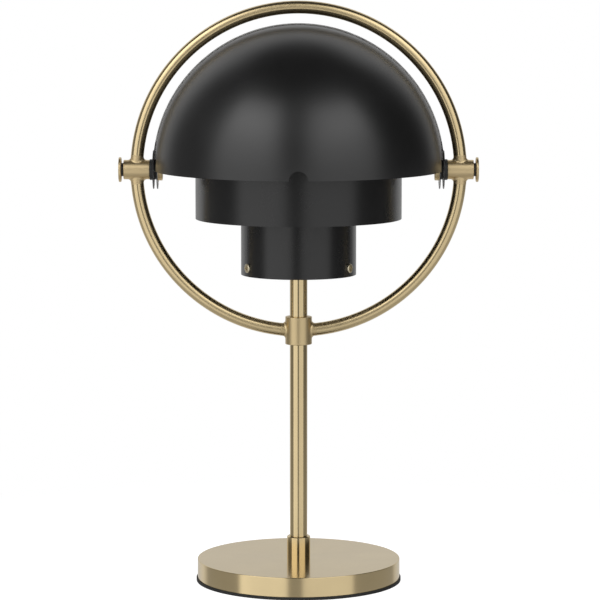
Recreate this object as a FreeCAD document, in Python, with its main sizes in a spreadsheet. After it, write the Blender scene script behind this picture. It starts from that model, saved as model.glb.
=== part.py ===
# Dome shade table lamp: a round base, a stem, and a ring that carries two quarter-sphere shades on
# pivots at 9 and 3 o'clock, round a narrow and a wide cylinder with the bulb between them.
# Millimetres, +Z up, front towards -Y. The origin is the centre of the base's underside.
import FreeCAD, Part
import math
import os
import Sketcher

doc = FreeCAD.newDocument("dome_shade_lamp")

# ---------------------------------------------------------------------------------------------
# Sizes. Each row of the sheet is one size that can be set by itself.
# ---------------------------------------------------------------------------------------------
DRIVING_SIZES = [
    # base
    ("base_radius", 87.6, "radius of the brass cover"),
    ("base_height", 16.6, "height of the brass cover"),
    ("cover_wall", 1.5, "wall of the cover"),
    ("cover_edge", 0.5, "rounding of the cover's top edge"),
    ("pad_overhang", 1.0, "how far the rubber pad stands out past the cover"),
    ("pad_thickness", 2.4, "thickness of the pad"),
    ("ballast_gap", 0.3, "gap between the ballast and the cover's side"),
    ("ballast_web", 6.0, "iron left above the nut recess"),
    ("recess_radius", 14.0, "nut recess in the ballast"),
    ("gland_bore", 3.4, "radius of the cord's way through the gland"),
    ("gland_wall", 1.3, "wall of the gland's barrel"),
    ("gland_flange", 6.2, "radius of the gland's flange"),
    ("gland_flange_depth", 1.5, "thickness of that flange"),
    ("gland_length", 10.0, "length of the gland's barrel"),
    ("gland_rise", 7.6, "height of the gland's axis above the pad"),
    ("channel_gap", 0.4, "room beside the gland in the ballast's channel"),
    # stem
    ("stem_radius", 7.55, "outer radius of the stem"),
    ("stem_wall", 1.25, "wall of the stem"),
    ("stem_thread_depth", 12.0, "length of the threaded ends of the stem"),
    ("foot_collar_wall", 2.55, "wall of the collar at the foot"),
    ("foot_collar_height", 19.3, "height of that collar"),
    ("foot_collar_chamfer", 0.7, "chamfer of that collar's top edge"),
    ("slip_gap", 0.05, "radial gap of a collar or thread on what it is fixed to"),
    ("nipple_radius", 4.95, "outer radius of the hollow threaded nipples"),
    ("nipple_bore", 3.5, "bore radius of the nipples"),
    ("nut_across_flats", 17.0, "hexagon nuts on the nipples"),
    ("nut_height", 5.0, "height of those nuts"),
    ("washer_radius", 11.0, "washer under the base nut"),
    ("washer_height", 1.5, "thickness of that washer"),
    # ring
    ("pivot_height", 356.1, "height of the pivot axis and the ring's centre"),
    ("ring_tube_radius", 5.5, "outer radius of the ring's tube"),
    ("ring_tube_wall", 1.2, "wall of the ring's tube"),
    ("braze_radius", 2.6, "rounding where a tube end meets its barrel or collar"),
    ("braze_length", 4.0, "straight run of tube end past the barrel or collar"),
    ("ring_collar_wall", 3.9, "wall of the ring's collar"),
    ("ring_collar_height", 23.9, "height of the ring's collar"),
    ("ring_collar_edge", 0.6, "rounding of the collar's end edges"),
    ("set_screw_radius", 2.0, "set screw in the collar's back"),
    ("set_screw_socket", 1.1, "radius across the corners of its hexagon socket"),
    ("set_screw_sink", 0.3, "how deep the set screw sits below the collar's face"),
    ("thread_gap", 0.05, "radial gap round a small screw in its hole"),
    # pivots, measured along the pivot axis from the shades outward
    ("barrel_radius", 8.3, "outer radius of the barrels"),
    ("barrel_length", 22.4, "length of the barrels"),
    ("barrel_edge", 0.5, "rounding of the barrels' end edges"),
    ("pivot_radius", 3.0, "radius of the pivot screws' shank"),
    ("pivot_gap", 0.06, "running gap of the ears on the shank"),
    ("ear_radius", 16.5, "radius of the shades' round ears"),
    ("washer_play", 0.05, "play on each side of an ear"),
    ("ear_washer_radius", 8.9, "radius of the washer beside the barrel"),
    ("ear_washer_thickness", 2.75, "thickness of that washer"),
    ("spacer_radius", 8.5, "radius of the washer between the ears"),
    ("spacer_thickness", 2.5, "thickness of that washer"),
    ("pivot_nut_radius", 9.3, "radius of the round nut"),
    ("pivot_nut_thickness", 3.8, "thickness of that nut"),
    ("pivot_nut_edge", 0.7, "rounding of the nut's edge"),
    ("screw_tail", 0.8, "how far the shank stands out of the nut"),
    ("head_radius", 10.6, "radius of the pivot screw's disc head"),
    ("head_thickness", 2.2, "thickness of that head"),
    ("head_edge", 0.8, "rounding of the head's edges"),
    ("head_washer_radius", 5.7, "radius of the washer under the head"),
    ("head_washer_thickness", 2.0, "thickness of that washer"),
    # shades
    ("front_radius", 123.5, "outer radius of the front shade"),
    ("shade_wall", 0.8, "sheet thickness of the shades"),
    ("nesting_gap", 0.5, "gap between the front shade and the rear shade's inside"),
    ("pole_flat_depth", 0.4, "how far the rear shade's ears sit inside its pole"),
    ("rim_drop_angle", 0.6, "degrees that a shade's lower rim hangs below the pivot axis"),
    ("lap_angle", 0.4, "degrees that a shade runs past the top"),
    ("notch_gap", 0.4, "gap between the stem and the notch in a turned-down shade"),
    ("flat_hole_radius", 5.0, "opening of the sheet under the ears"),
    # cylinders
    ("narrow_radius", 49.4, "outer radius of the narrow cylinder"),
    ("narrow_half_height", 89.8, "from the pivot axis to the narrow cylinder's rims"),
    ("wide_radius", 88.3, "outer radius of the wide cylinder"),
    ("wide_half_height", 41.7, "from the pivot axis to the wide cylinder's rims"),
    ("cylinder_wall", 1.0, "wall of both cylinders"),
    ("post_radius", 4.0, "radius of the posts between the cylinders"),
    ("screw_head_radius", 3.9, "radius of the small screws' heads"),
    ("screw_head_height", 1.9, "height of those heads"),
    ("screw_head_edge", 0.8, "rounding of those heads"),
    ("screw_shank_radius", 1.9, "radius of the small screws' shank"),
    ("screw_reach", 7.0, "length of the shank from under the head"),
    ("recess_width", 0.9, "width of the cross recess in the heads"),
    ("recess_length", 4.0, "length of the cross recess"),
    ("recess_depth", 1.0, "depth of the cross recess"),
    # bracket on the stem
    ("bracket_rise", 7.4, "the bracket screws' height above the narrow cylinder's rim"),
    ("hub_radius", 14.0, "radius of the bracket's hub"),
    ("bracket_thickness", 3.0, "thickness of the bracket's hub, arms and tabs"),
    ("arm_width", 10.0, "width of the arms and tabs"),
    ("tab_height", 11.0, "height of the tabs at the arms' ends"),
    ("tab_gap", 0.05, "gap between a tab's corners and the cylinder"),
    # lamp holder and bulb
    ("holder_radius", 13.6, "outer radius of the lamp holder"),
    ("holder_wall", 2.4, "wall of the lamp holder"),
    ("holder_height", 44.0, "height of the lamp holder"),
    ("holder_floor", 9.0, "thickness of the lamp holder's floor"),
    ("holder_shoulder", 5.0, "height of the sloping shoulder at its foot"),
    ("thread_sleeve_wall", 0.6, "wall of the threaded sleeve"),
    ("thread_sleeve_height", 21.0, "height of the threaded sleeve"),
    ("thread_sleeve_foot", 1.0, "thickness of its foot flange"),
    ("contact_radius", 2.2, "radius of the centre contact"),
    ("contact_height", 5.6, "height of the centre contact"),
    ("cap_radius", 6.95, "radius of the bulb's screw cap"),
    ("cap_thread_gap", 0.15, "gap between the cap and the threaded sleeve"),
    ("cap_height", 19.0, "height of the screw cap"),
    ("cap_tip_radius", 2.4, "radius of the cap's contact tip"),
    ("cap_tip_height", 3.5, "height of the cap's insulated foot"),
    ("glass_radius", 22.5, "radius of the bulb's globe"),
    ("glass_neck_radius", 6.6, "radius of the bulb's neck"),
    ("glass_wall", 1.0, "wall of the bulb"),
    ("bulb_length", 77.0, "from the cap's tip to the top of the globe"),
]

sheet = doc.addObject("Spreadsheet::Sheet", "Sizes")
for row, (size_name, size_value, size_note) in enumerate(DRIVING_SIZES, start=1):
    sheet.set("A%d" % row, size_name)
    sheet.set("B%d" % row, str(size_value))
    sheet.setAlias("B%d" % row, size_name)
    sheet.set("C%d" % row, size_note)
doc.recompute()

# Sizes and places that follow from the sheet
BASE_TOP = "(Sizes.pad_thickness + Sizes.base_height)"
BALLAST_RADIUS = "(Sizes.base_radius - Sizes.cover_wall - Sizes.ballast_gap)"
BALLAST_HEIGHT = "(Sizes.base_height - Sizes.cover_wall)"
GLAND_OUTER = "(Sizes.gland_bore + Sizes.gland_wall)"
GLAND_HEIGHT = "(Sizes.pad_thickness + Sizes.gland_rise)"
NIPPLE_HOLE = "(Sizes.nipple_radius + Sizes.slip_gap)"
COLLAR_BORE = "(Sizes.stem_radius + Sizes.slip_gap)"
RECESS_TOP = "(%s - Sizes.cover_wall - Sizes.ballast_web)" % BASE_TOP

REAR_RADIUS = "(Sizes.front_radius + Sizes.nesting_gap + Sizes.shade_wall)"
REAR_EAR = "(%s - Sizes.pole_flat_depth)" % REAR_RADIUS
SPACER_OUT = "(%s - Sizes.shade_wall - Sizes.washer_play)" % REAR_EAR
SPACER_IN = "(%s - Sizes.spacer_thickness)" % SPACER_OUT
FRONT_EAR = "(%s - Sizes.washer_play)" % SPACER_IN
NUT_OUT = "(%s - Sizes.shade_wall - Sizes.washer_play)" % FRONT_EAR
NUT_IN = "(%s - Sizes.pivot_nut_thickness)" % NUT_OUT
EAR_WASHER_IN = "(%s + Sizes.washer_play)" % REAR_EAR
BARREL_IN = "(%s + Sizes.ear_washer_thickness)" % EAR_WASHER_IN
BARREL_OUT = "(%s + Sizes.barrel_length)" % BARREL_IN
HEAD_IN = "(%s + Sizes.head_washer_thickness)" % BARREL_OUT
RING_RADIUS = "(%s + Sizes.barrel_length / 2)" % BARREL_IN
PIVOT_HOLE = "(Sizes.pivot_radius + Sizes.pivot_gap)"
NOTCH_RADIUS = "(Sizes.stem_radius + Sizes.notch_gap)"

RING_COLLAR_RADIUS = "(Sizes.stem_radius + Sizes.ring_collar_wall)"
COLLAR_STUB_ANGLE = "(asin((%s + Sizes.braze_length) / %s) / 1 deg)" % (RING_COLLAR_RADIUS, RING_RADIUS)
BARREL_STUB_ANGLE = "(asin((Sizes.barrel_radius + Sizes.braze_length) / %s) / 1 deg)" % RING_RADIUS

NARROW_BOTTOM = "(Sizes.pivot_height - Sizes.narrow_half_height)"
NARROW_INNER = "(Sizes.narrow_radius - Sizes.cylinder_wall)"
WIDE_BOTTOM = "(Sizes.pivot_height - Sizes.wide_half_height)"
WIDE_INNER = "(Sizes.wide_radius - Sizes.cylinder_wall)"
SCREW_HOLE = "(Sizes.screw_shank_radius + Sizes.thread_gap)"
INNER_SEAT = "(sqrt(%s ^ 2 - Sizes.screw_head_radius ^ 2) - Sizes.thread_gap)" % NARROW_INNER

BRACKET_SCREW_HEIGHT = "(%s + Sizes.bracket_rise)" % NARROW_BOTTOM
BRACKET_TOP = "(%s + Sizes.tab_height / 2)" % BRACKET_SCREW_HEIGHT
BRACKET_UNDERSIDE = "(%s - Sizes.bracket_thickness)" % BRACKET_TOP
TAB_OUT = "(sqrt(%s ^ 2 - (Sizes.arm_width / 2) ^ 2) - Sizes.tab_gap)" % NARROW_INNER
HOLDER_FOOT = "(%s + Sizes.nut_height)" % BRACKET_TOP
HOLDER_FLOOR_TOP = "(%s + Sizes.holder_floor)" % HOLDER_FOOT
BULB_FOOT = "(%s + Sizes.contact_height)" % HOLDER_FLOOR_TOP
SLEEVE_INNER = "(Sizes.cap_radius + Sizes.cap_thread_gap)"
GLASS_FOOT = "(%s + Sizes.cap_tip_height + Sizes.cap_height)" % BULB_FOOT
GLASS_CENTRE = "(%s + Sizes.bulb_length - Sizes.glass_radius)" % BULB_FOOT

FULL_TURN = 360.0
# the sign of the place along the pivot axis
SIDES = (("left", -1), ("right", 1))
# the three places round the stem, as turns from the rear one
PLACES = (("rear", 0.0), ("left", 120.0), ("right", -120.0))

sub_parts = []


def value(expression):
    """The number that an expression of the sheet's sizes has now, to lay out a sketch with."""
    return float(sheet.evalExpression(expression))


def keep(shape_object, label):
    """Note an object of the document as a finished sub-part under its own label."""
    shape_object.Label = label
    sub_parts.append(shape_object)
    return shape_object


# ---------------------------------------------------------------------------------------------
# Bodies, sketches and features
# ---------------------------------------------------------------------------------------------
def new_body(label, height=None):
    body = doc.addObject("PartDesign::Body", label + "_body")
    if height is not None:
        body.setExpression("Placement.Base.z", height)
    return keep(body, label)


def origin_feature(body, role):
    return [item for item in body.Origin.OriginFeatures if item.Role == role][0]


def new_sketch(body, plane, name, offset=None):
    """Sketch on one of the body's own planes, moved along that plane's normal by offset."""
    sketch = body.newObject("Sketcher::SketchObject", name)
    sketch.AttachmentSupport = [(origin_feature(body, plane), "")]
    sketch.MapMode = "FlatFace"
    if offset is not None:
        sketch.setExpression("AttachmentOffset.Base.z", offset)
    return sketch


def bind(sketch, constraint, expression):
    """Add a constraint of one size and tie that size to the sheet."""
    index = sketch.addConstraint(constraint)
    sketch.setExpression("Constraints[%d]" % index, expression)


def pin_point(sketch, geometry, end, across, up):
    """Fix a point of the sketch by its two distances from the origin."""
    if across is not None:
        bind(sketch, Sketcher.Constraint("DistanceX", -1, 1, geometry, end, value(across)), across)
    if up is not None:
        bind(sketch, Sketcher.Constraint("DistanceY", -1, 1, geometry, end, value(up)), up)


def draw_circle(sketch, radius, across="0", up="0"):
    centre = FreeCAD.Vector(value(across), value(up), 0)
    circle = sketch.addGeometry(Part.Circle(centre, FreeCAD.Vector(0, 0, 1), value(radius)), False)
    bind(sketch, Sketcher.Constraint("Radius", circle, value(radius)), radius)
    if across == "0" and up == "0":
        sketch.addConstraint(Sketcher.Constraint("Coincident", circle, 3, -1, 1))
    else:
        pin_point(sketch, circle, 3, across, up)
    return circle


def draw_outline(sketch, corners):
    """Draw a closed outline of straight lines through corners given as pairs of expressions."""
    points = [FreeCAD.Vector(value(across), value(up), 0) for across, up in corners]
    lines = []
    for index, start in enumerate(points):
        end = points[(index + 1) % len(points)]
        lines.append(sketch.addGeometry(Part.LineSegment(start, end), False))
    for index, line in enumerate(lines):
        sketch.addConstraint(Sketcher.Constraint("Coincident", line, 2, lines[(index + 1) % len(lines)], 1))
        pin_point(sketch, line, 1, corners[index][0], corners[index][1])


def add_pad(body, sketch, length, both_ways=False, backward=False):
    pad = body.newObject("PartDesign::Pad", "Pad")
    pad.Profile = sketch
    pad.setExpression("Length", length)
    if both_ways:
        pad.SideType = "Symmetric"
    pad.Reversed = backward
    body.Tip = pad
    return pad


def add_pocket(body, sketch, length=None, forward=False, both_ways=False):
    """Cut a sketch out of the body; forward cuts along the sketch's normal."""
    pocket = body.newObject("PartDesign::Pocket", "Pocket")
    pocket.Profile = sketch
    if length is None:
        pocket.Type = "ThroughAll"
    else:
        pocket.setExpression("Length", length)
    if both_ways:
        pocket.SideType = "Symmetric"
    pocket.Reversed = forward
    body.Tip = pocket
    return pocket


def add_revolution(body, sketch, axis, angle=None, both_ways=False):
    turn = body.newObject("PartDesign::Revolution", "Revolution")
    turn.Profile = sketch
    turn.ReferenceAxis = (sketch, [axis])
    if angle is None:
        turn.Angle = FULL_TURN
    else:
        turn.setExpression("Angle", angle)
    turn.Midplane = both_ways
    body.Tip = turn
    return turn


def add_polar_pattern(body, features=None):
    """Repeat some features, or the whole body, at the three places round the stem."""
    doc.recompute()
    pattern = body.newObject("PartDesign::PolarPattern", "RoundTheStem")
    if features is None:
        pattern.TransformMode = "Whole shape"
    else:
        pattern.Originals = features
    pattern.Axis = (origin_feature(body, "Z_Axis"), [""])
    pattern.Angle = FULL_TURN
    pattern.Occurrences = len(PLACES)
    body.Tip = pattern


def round_edges(body, feature, radius, wanted, kind="PartDesign::Fillet"):
    """Round or chamfer the edges of a feature for which wanted(edge) is true."""
    doc.recompute()
    names = ["Edge%d" % (i + 1) for i, edge in enumerate(feature.Shape.Edges) if wanted(edge)]
    blend = body.newObject(kind, "Blend")
    blend.Base = (feature, names)
    blend.setExpression("Radius" if kind == "PartDesign::Fillet" else "Size", radius)
    body.Tip = blend
    return blend


def full_circle(edge, radius, **place):
    """Tell whether an edge is a full circle of that radius, at that x, y or z."""
    if not isinstance(edge.Curve, Part.Circle) or not edge.isClosed():
        return False
    near = 1e-4
    if abs(edge.Curve.Radius - radius) > near:
        return False
    centre = edge.Curve.Center
    return all(abs(getattr(centre, name) - where) < near for name, where in place.items())


# ---------------------------------------------------------------------------------------------
# Plain round and prismatic pieces
# ---------------------------------------------------------------------------------------------
ALONG = {
    "+X": FreeCAD.Rotation(FreeCAD.Vector(0, 1, 0), 90),
    "-X": FreeCAD.Rotation(FreeCAD.Vector(0, 1, 0), -90),
    "+Y": FreeCAD.Rotation(FreeCAD.Vector(1, 0, 0), -90),
    "+Z": FreeCAD.Rotation(),
}


def set_place(thing, direction, x="0", y="0", z="0"):
    thing.Placement = FreeCAD.Placement(FreeCAD.Vector(), ALONG[direction])
    for name, expression in (("x", x), ("y", y), ("z", z)):
        if expression != "0":
            thing.setExpression("Placement.Base." + name, expression)


def new_rod(name, radius, length, direction, x="0", y="0", z="0"):
    rod = doc.addObject("Part::Cylinder", name)
    rod.setExpression("Radius", radius)
    rod.setExpression("Height", length)
    set_place(rod, direction, x, y, z)
    return rod


def new_hexagon(name, across_flats, length, direction, x="0", y="0", z="0"):
    prism = doc.addObject("Part::Prism", name)
    prism.Polygon = 6
    prism.setExpression("Circumradius", "(%s) / sqrt(3)" % across_flats)
    prism.setExpression("Height", length)
    set_place(prism, direction, x, y, z)
    return prism


def cut(name, base, tool):
    result = doc.addObject("Part::Cut", name)
    result.Base = base
    result.Tool = tool
    return result


def fuse(name, first, second):
    result = doc.addObject("Part::Fuse", name)
    result.Base = first
    result.Tool = second
    return result


def new_tube(name, radius, bore, length, direction, x="0", y="0", z="0"):
    outside = new_rod(name + "_outside", radius, length, direction, x, y, z)
    inside = new_rod(name + "_bore", bore, length, direction, x, y, z)
    return cut(name, outside, inside)


def mirrored_x(side, expression):
    """The place along the pivot axis for the left or the right side."""
    return expression if side > 0 else "-1 * %s" % expression


def outward(side):
    return "+X" if side > 0 else "-X"


# ---------------------------------------------------------------------------------------------
# Base
# ---------------------------------------------------------------------------------------------
def make_base_pad():
    body = new_body("base_pad")
    disc = new_sketch(body, "XY_Plane", "PadDisc")
    draw_circle(disc, "Sizes.base_radius + Sizes.pad_overhang")
    add_pad(body, disc, "Sizes.pad_thickness")


def make_base_cover():
    """A cup turned upside down, with the hole for the nipple and the one for the gland."""
    body = new_body("base_cover", "Sizes.pad_thickness")
    disc = new_sketch(body, "XY_Plane", "CoverDisc")
    draw_circle(disc, "Sizes.base_radius")
    plate = add_pad(body, disc, "Sizes.base_height")
    top = value("Sizes.base_height")
    radius = value("Sizes.base_radius")
    round_edges(body, plate, "Sizes.cover_edge", lambda edge: full_circle(edge, radius, z=top))
    inside = new_sketch(body, "XY_Plane", "CoverInside")
    draw_circle(inside, "Sizes.base_radius - Sizes.cover_wall")
    add_pocket(body, inside, "Sizes.base_height - Sizes.cover_wall", forward=True)
    hole = new_sketch(body, "XY_Plane", "NippleHole")
    draw_circle(hole, NIPPLE_HOLE)
    add_pocket(body, hole, "Sizes.base_height", forward=True)
    way_out = new_sketch(body, "XZ_Plane", "GlandHole")
    draw_circle(way_out, "%s + Sizes.slip_gap" % GLAND_OUTER, up="Sizes.gland_rise")
    add_pocket(body, way_out, "Sizes.base_radius")


def make_base_ballast():
    """Iron disc with a recess for the nut and a channel for the cord, both open downward."""
    body = new_body("base_ballast", "Sizes.pad_thickness")
    disc = new_sketch(body, "XY_Plane", "BallastDisc")
    draw_circle(disc, BALLAST_RADIUS)
    add_pad(body, disc, BALLAST_HEIGHT)
    hole = new_sketch(body, "XY_Plane", "BallastHole")
    draw_circle(hole, NIPPLE_HOLE)
    add_pocket(body, hole, BALLAST_HEIGHT, forward=True)
    recess = new_sketch(body, "XY_Plane", "NutRecess")
    draw_circle(recess, "Sizes.recess_radius")
    add_pocket(body, recess, "%s - Sizes.ballast_web" % BALLAST_HEIGHT, forward=True)
    channel = new_sketch(body, "XY_Plane", "CordChannel")
    half_width = "(%s + Sizes.channel_gap)" % GLAND_OUTER
    draw_outline(channel, [
        ("-1 * %s" % half_width, "0"),
        (half_width, "0"),
        (half_width, "Sizes.base_radius"),
        ("-1 * %s" % half_width, "Sizes.base_radius"),
    ])
    add_pocket(body, channel, "Sizes.gland_rise + %s" % half_width, forward=True)


def make_cord_gland():
    start = "(Sizes.base_radius - Sizes.gland_length)"
    barrel = new_rod("GlandBarrel", GLAND_OUTER, "Sizes.gland_length", "+Y", y=start, z=GLAND_HEIGHT)
    flange = new_rod("GlandFlange", "Sizes.gland_flange", "Sizes.gland_flange_depth", "+Y",
                     y="Sizes.base_radius", z=GLAND_HEIGHT)
    bore = new_rod("GlandBore", "Sizes.gland_bore", "Sizes.gland_length + Sizes.gland_flange_depth", "+Y",
                   y=start, z=GLAND_HEIGHT)
    keep(cut("GlandCut", fuse("GlandBlank", barrel, flange), bore), "cord_gland")


# ---------------------------------------------------------------------------------------------
# Stem
# ---------------------------------------------------------------------------------------------
def make_stem_foot_collar():
    body = new_body("stem_foot_collar", BASE_TOP)
    ring = new_sketch(body, "XY_Plane", "FootCollarRing")
    outer = "Sizes.stem_radius + Sizes.foot_collar_wall"
    draw_circle(ring, outer)
    draw_circle(ring, COLLAR_BORE)
    sleeve = add_pad(body, ring, "Sizes.foot_collar_height")
    top = value("Sizes.foot_collar_height")
    radius = value(outer)
    round_edges(body, sleeve, "Sizes.foot_collar_chamfer",
                lambda edge: full_circle(edge, radius, z=top), "PartDesign::Chamfer")


def make_stem_tube():
    """Tube from the base to the bracket, with thick threaded ends for the two nipples."""
    body = new_body("stem_tube", BASE_TOP)
    length = "(%s - %s)" % (BRACKET_UNDERSIDE, BASE_TOP)
    bore = "(Sizes.stem_radius - Sizes.stem_wall)"
    half = new_sketch(body, "XZ_Plane", "StemHalf")
    draw_outline(half, [
        (NIPPLE_HOLE, "0"),
        ("Sizes.stem_radius", "0"),
        ("Sizes.stem_radius", length),
        (NIPPLE_HOLE, length),
        (NIPPLE_HOLE, "%s - Sizes.stem_thread_depth" % length),
        (bore, "%s - Sizes.stem_thread_depth" % length),
        (bore, "Sizes.stem_thread_depth"),
        (NIPPLE_HOLE, "Sizes.stem_thread_depth"),
    ])
    add_revolution(body, half, "V_Axis")


def make_stem_fixings():
    """Nipple, washer and nut under the base, and the nipple and nut that hold the bracket."""
    washer_foot = "(%s - Sizes.washer_height)" % RECESS_TOP
    nut_foot = "(%s - Sizes.nut_height)" % washer_foot
    keep(new_tube("BaseWasher", "Sizes.washer_radius", NIPPLE_HOLE, "Sizes.washer_height", "+Z",
                  z=washer_foot), "base_washer")
    nut = new_hexagon("BaseNutBlank", "Sizes.nut_across_flats", "Sizes.nut_height", "+Z", z=nut_foot)
    nut_hole = new_rod("BaseNutHole", NIPPLE_HOLE, "Sizes.nut_height", "+Z", z=nut_foot)
    keep(cut("BaseNutCut", nut, nut_hole), "base_nut")
    keep(new_tube("LowerNipple", "Sizes.nipple_radius", "Sizes.nipple_bore",
                  "%s + Sizes.stem_thread_depth - %s" % (BASE_TOP, nut_foot), "+Z", z=nut_foot),
         "lower_nipple")
    keep(new_tube("UpperNipple", "Sizes.nipple_radius", "Sizes.nipple_bore",
                  "Sizes.stem_thread_depth + Sizes.bracket_thickness + Sizes.nut_height"
                  " + Sizes.holder_floor", "+Z", z="%s - Sizes.stem_thread_depth" % BRACKET_UNDERSIDE),
         "upper_nipple")
    bracket_nut = new_hexagon("BracketNutBlank", "Sizes.nut_across_flats", "Sizes.nut_height", "+Z",
                              z=BRACKET_TOP)
    bracket_hole = new_rod("BracketNutHole", NIPPLE_HOLE, "Sizes.nut_height", "+Z", z=BRACKET_TOP)
    keep(cut("BracketNutCut", bracket_nut, bracket_hole), "bracket_nut")


# ---------------------------------------------------------------------------------------------
# Ring
# ---------------------------------------------------------------------------------------------
def make_ring_tube(label, sweep, middle):
    """A bent length of tube round the ring's centre; middle is its middle's turn from the bottom."""
    body = new_body(label, "Sizes.pivot_height")
    body.Placement.Rotation = FreeCAD.Rotation(FreeCAD.Vector(0, 1, 0), 1)
    body.setExpression("Placement.Rotation.Angle", middle)
    section = new_sketch(body, "YZ_Plane", "TubeSection")
    draw_circle(section, "Sizes.ring_tube_radius", up="-1 * %s" % RING_RADIUS)
    draw_circle(section, "Sizes.ring_tube_radius - Sizes.ring_tube_wall", up="-1 * %s" % RING_RADIUS)
    add_revolution(body, section, "H_Axis", sweep, both_ways=True)


def is_braze_seam(edge, tube_radius):
    """Tell whether an edge is the seam, or a good part of it, where a tube end meets a round body."""
    return not isinstance(edge.Curve, (Part.Circle, Part.Line)) and edge.Length > tube_radius


def make_ring_collar():
    """Sleeve on the stem with a tube end brazed to each side, and the set screw's hole behind."""
    body = new_body("ring_collar", "Sizes.pivot_height")
    disc = new_sketch(body, "XY_Plane", "CollarDisc",
                      "-1 * %s - Sizes.ring_collar_height / 2" % RING_RADIUS)
    draw_circle(disc, RING_COLLAR_RADIUS)
    sleeve = add_pad(body, disc, "Sizes.ring_collar_height")
    radius = value(RING_COLLAR_RADIUS)
    round_edges(body, sleeve, "Sizes.ring_collar_edge", lambda edge: full_circle(edge, radius))
    stub = new_sketch(body, "YZ_Plane", "TubeEnds")
    draw_circle(stub, "Sizes.ring_tube_radius", up="-1 * %s" % RING_RADIUS)
    ends = add_revolution(body, stub, "H_Axis", "2 * %s" % COLLAR_STUB_ANGLE, both_ways=True)
    tube_radius = value("Sizes.ring_tube_radius")
    round_edges(body, ends, "Sizes.braze_radius", lambda edge: is_braze_seam(edge, tube_radius))
    bore = new_sketch(body, "XY_Plane", "CollarBore", "-1 * %s" % RING_RADIUS)
    draw_circle(bore, COLLAR_BORE)
    add_pocket(body, bore, both_ways=True)
    tapped = new_sketch(body, "XZ_Plane", "SetScrewHole")
    draw_circle(tapped, "Sizes.set_screw_radius + Sizes.thread_gap", up="-1 * %s" % RING_RADIUS)
    add_pocket(body, tapped, RING_COLLAR_RADIUS)


def make_ring_collar_screw():
    height = "(Sizes.pivot_height - %s)" % RING_RADIUS
    length = "(Sizes.ring_collar_wall - Sizes.set_screw_sink - Sizes.slip_gap)"
    start = COLLAR_BORE
    blank = new_rod("SetScrewBlank", "Sizes.set_screw_radius", length, "+Y", y=start, z=height)
    socket = new_hexagon("SetScrewSocket", "Sizes.set_screw_socket * sqrt(3)", "%s / 2" % length, "+Y",
                         y="%s + %s / 2" % (start, length), z=height)
    keep(cut("SetScrewCut", blank, socket), "ring_collar_screw")


def make_ring():
    quarter = "(90 - %s - %s)" % (COLLAR_STUB_ANGLE, BARREL_STUB_ANGLE)
    lower_middle = "(45 + (%s - %s) / 2)" % (COLLAR_STUB_ANGLE, BARREL_STUB_ANGLE)
    make_ring_tube("ring_upper_arc", "180 - 2 * %s" % BARREL_STUB_ANGLE, "180")
    make_ring_tube("ring_lower_left", quarter, lower_middle)
    make_ring_tube("ring_lower_right", quarter, "360 - %s" % lower_middle)
    make_ring_collar()
    make_ring_collar_screw()


# ---------------------------------------------------------------------------------------------
# Pivots
# ---------------------------------------------------------------------------------------------
def add_disc_on_pivot(body, side, near, far, radius):
    """Solid disc on the pivot axis between two distances from the middle of the lamp."""
    start = near if side > 0 else "-1 * %s" % far
    disc = new_sketch(body, "YZ_Plane", "Disc", start)
    draw_circle(disc, radius)
    return add_pad(body, disc, "%s - %s" % (far, near))


def make_pivot_barrel(name, side):
    """Turned barrel with a tube end brazed to its top and bottom, bored for the pivot screw."""
    body = new_body("pivot_barrel_" + name, "Sizes.pivot_height")
    barrel = add_disc_on_pivot(body, side, BARREL_IN, BARREL_OUT, "Sizes.barrel_radius")
    radius = value("Sizes.barrel_radius")
    round_edges(body, barrel, "Sizes.barrel_edge", lambda edge: full_circle(edge, radius))
    stub = new_sketch(body, "XY_Plane", "TubeEnds")
    draw_circle(stub, "Sizes.ring_tube_radius", across=mirrored_x(side, RING_RADIUS))
    ends = add_revolution(body, stub, "V_Axis", "2 * %s" % BARREL_STUB_ANGLE, both_ways=True)
    tube_radius = value("Sizes.ring_tube_radius")
    round_edges(body, ends, "Sizes.braze_radius", lambda edge: is_braze_seam(edge, tube_radius))
    bore = new_sketch(body, "YZ_Plane", "BarrelBore")
    draw_circle(bore, PIVOT_HOLE)
    add_pocket(body, bore, both_ways=True)


def make_pivot_screw(name, side):
    """Screw with a plain disc head, its shank running through to just past the nut."""
    body = new_body("pivot_screw_" + name, "Sizes.pivot_height")
    head = add_disc_on_pivot(body, side, HEAD_IN, "(%s + Sizes.head_thickness)" % HEAD_IN,
                             "Sizes.head_radius")
    radius = value("Sizes.head_radius")
    round_edges(body, head, "Sizes.head_edge", lambda edge: full_circle(edge, radius))
    add_disc_on_pivot(body, side, "(%s - Sizes.screw_tail)" % NUT_IN, HEAD_IN, "Sizes.pivot_radius")


def make_pivot_washers(name, side):
    for label, radius, thickness, start in (
            ("head_washer", "Sizes.head_washer_radius", "Sizes.head_washer_thickness", BARREL_OUT),
            ("ear_washer", "Sizes.ear_washer_radius", "Sizes.ear_washer_thickness", EAR_WASHER_IN),
            ("ear_spacer", "Sizes.spacer_radius", "Sizes.spacer_thickness", SPACER_IN)):
        washer = new_tube("%s_%s_tube" % (label, name), radius, PIVOT_HOLE, thickness, outward(side),
                          x=mirrored_x(side, start), z="Sizes.pivot_height")
        keep(washer, "%s_%s" % (label, name))


def make_pivot_nut(name, side):
    """Round nut, rounded on the face that looks to the middle of the lamp."""
    body = new_body("pivot_nut_" + name, "Sizes.pivot_height")
    disc = add_disc_on_pivot(body, side, NUT_IN, NUT_OUT, "Sizes.pivot_nut_radius")
    radius = value("Sizes.pivot_nut_radius")
    inner_face = side * value(NUT_IN)
    round_edges(body, disc, "Sizes.pivot_nut_edge", lambda edge: full_circle(edge, radius, x=inner_face))
    hole = new_sketch(body, "YZ_Plane", "NutHole")
    draw_circle(hole, PIVOT_HOLE)
    add_pocket(body, hole, both_ways=True)


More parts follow.
